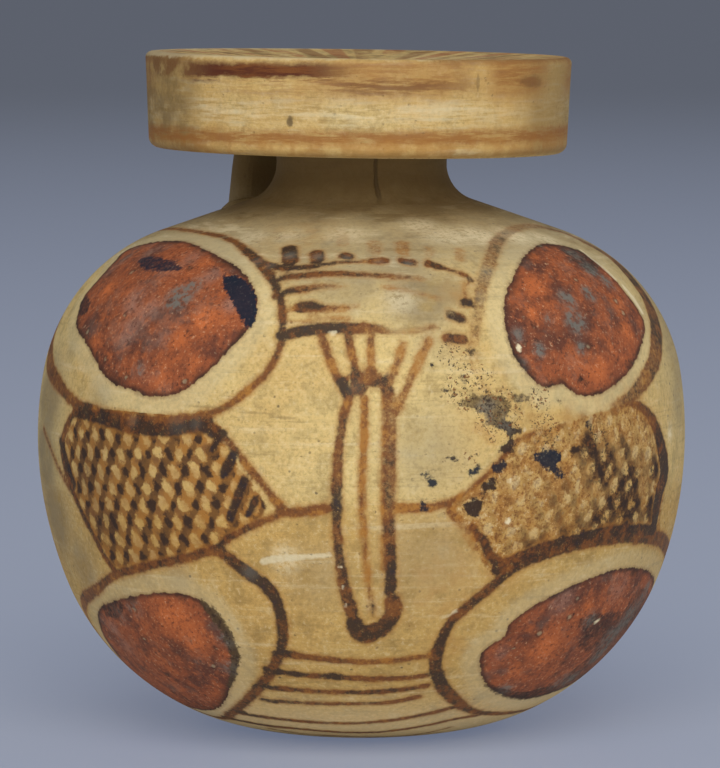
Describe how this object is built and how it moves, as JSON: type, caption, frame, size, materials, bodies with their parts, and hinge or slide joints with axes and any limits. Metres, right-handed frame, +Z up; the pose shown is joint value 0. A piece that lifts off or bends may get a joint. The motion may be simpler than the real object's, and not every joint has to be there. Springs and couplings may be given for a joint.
{
  "type": "aryballos",
  "caption": "Small round oil flask: globe body, short neck, thick disc mouth and strap handle, painted with a four-leaf ornament.",
  "frame": {"origin": "middle of the base, on the plane it stands on", "axes": "+Z up along the axis of the vessel; the strap handle is at the back, on +Y; the painted front faces -Y, a little towards -X"},
  "size_m": [0.0624, 0.0624, 0.065],
  "materials": {
    "painted_clay": "smoothed buff clay with brown line painting and red infill, matte to faintly burnished",
    "banded_clay": "smoothed buff clay with worn maroon and brown bands, faintly burnished",
    "plain_clay": "smoothed buff clay, matte, darkened in the hollows"
  },
  "bodies": {
    "root": {"body": "painted_clay", "neck": "plain_clay", "neck_luting": "plain_clay", "mouth_disc": "banded_clay", "handle": "plain_clay", "handle_foot_luting": "plain_clay", "handle_head_luting": "plain_clay"}
  },
  "joints": []
}
